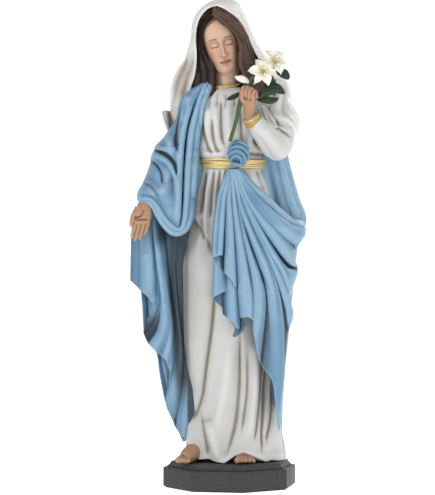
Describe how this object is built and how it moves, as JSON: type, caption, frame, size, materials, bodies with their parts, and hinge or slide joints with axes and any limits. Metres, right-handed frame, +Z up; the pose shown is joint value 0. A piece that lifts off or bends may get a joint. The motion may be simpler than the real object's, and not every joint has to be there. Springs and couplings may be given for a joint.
{
  "type": "madonna statue",
  "caption": "Standing robed figure in a white veil and gown and a blue mantle, holding lilies, on an octagonal dark base.",
  "frame": {"origin": "middle of the felt pad's underside, where the statue rests", "axes": "+Z up along the figure; the figure faces -Y, so +X is the figure's own left; the octagonal base is set turned 11.5 degrees clockwise under the figure, seen from above"},
  "size_m": [0.2147, 0.1668, 0.6105],
  "materials": {
    "felt": "matte black felt",
    "base": "satin charcoal paint on cast resin",
    "steel": "zinc-plated",
    "plug": "bare softwood",
    "white": "off-white satin paint with a brown wash in the folds",
    "blue": "pale blue satin paint with a dark wash in the folds",
    "gold": "aged gold paint with a brown wash",
    "skin": "painted skin tone, satin",
    "hair": "dark brown paint, satin",
    "leaf": "dark green paint, satin",
    "petal": "ivory paint, satin"
  },
  "bodies": {
    "root": {"felt_pad": "felt", "base_block": "base", "base_moulding": "base", "screw_washer_1": "steel", "base_screw_1": "steel", "screw_washer_2": "steel", "base_screw_2": "steel", "right_foot": "skin", "left_foot": "skin", "foot_plug": "plug", "head_and_neck": "skin", "gown_casting": "white", "waist_cord": "gold", "neckline_trim": "gold", "hair": "hair", "veil": "white", "right_hand_pin": "steel", "left_hand_pin": "steel", "right_hand": "skin", "lily_stem": "leaf", "left_hand": "skin", "left_sleeve": "white", "left_cuff": "gold", "mantle_lapel": "blue", "mantle_right_arm": "blue", "front_drape": "blue", "mantle_side_fall": "blue", "mantle_back": "blue", "drape_knot": "blue", "lily_front": "petal", "lily_rear": "petal", "lily_bud": "petal", "lily_leaf_round": "leaf", "lily_leaf_large": "leaf", "lily_leaf_low": "leaf", "lily_leaf_upper": "leaf", "lily_leaf_inner": "leaf"}
  },
  "joints": []
}
